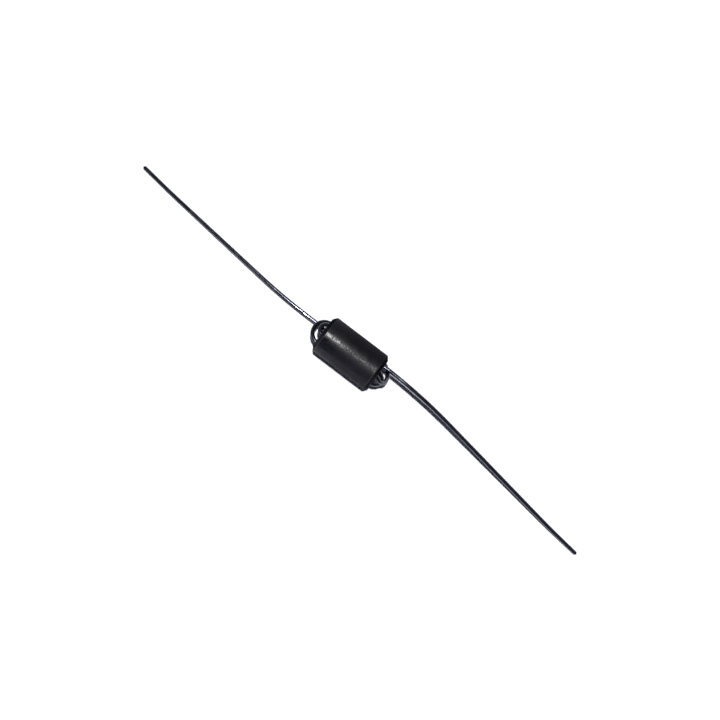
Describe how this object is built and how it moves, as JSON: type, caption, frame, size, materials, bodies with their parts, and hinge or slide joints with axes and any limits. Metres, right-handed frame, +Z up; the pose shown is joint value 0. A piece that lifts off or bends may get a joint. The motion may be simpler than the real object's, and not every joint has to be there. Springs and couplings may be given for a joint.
{
  "type": "wide-band choke",
  "caption": "Small wide-band choke: a dark ferrite bead with lengthwise holes and one tinned copper wire threaded through it, leaving as two long axial leads.",
  "frame": {"origin": "middle of the ferrite core, on its axis", "axes": "+X along the core's axis towards the lead that leaves its upper hole, +Z up from the surface that the choke lies on, +Y completes a right-handed frame"},
  "size_m": [0.0844, 0.0074, 0.006],
  "materials": {
    "ferrite": "sintered nickel-zinc ferrite, dark grey, finely speckled satin",
    "tinned_wire": "tinned copper, semi-bright"
  },
  "bodies": {
    "root": {"ferrite_core": "ferrite", "winding_wire": "tinned_wire"}
  },
  "joints": []
}
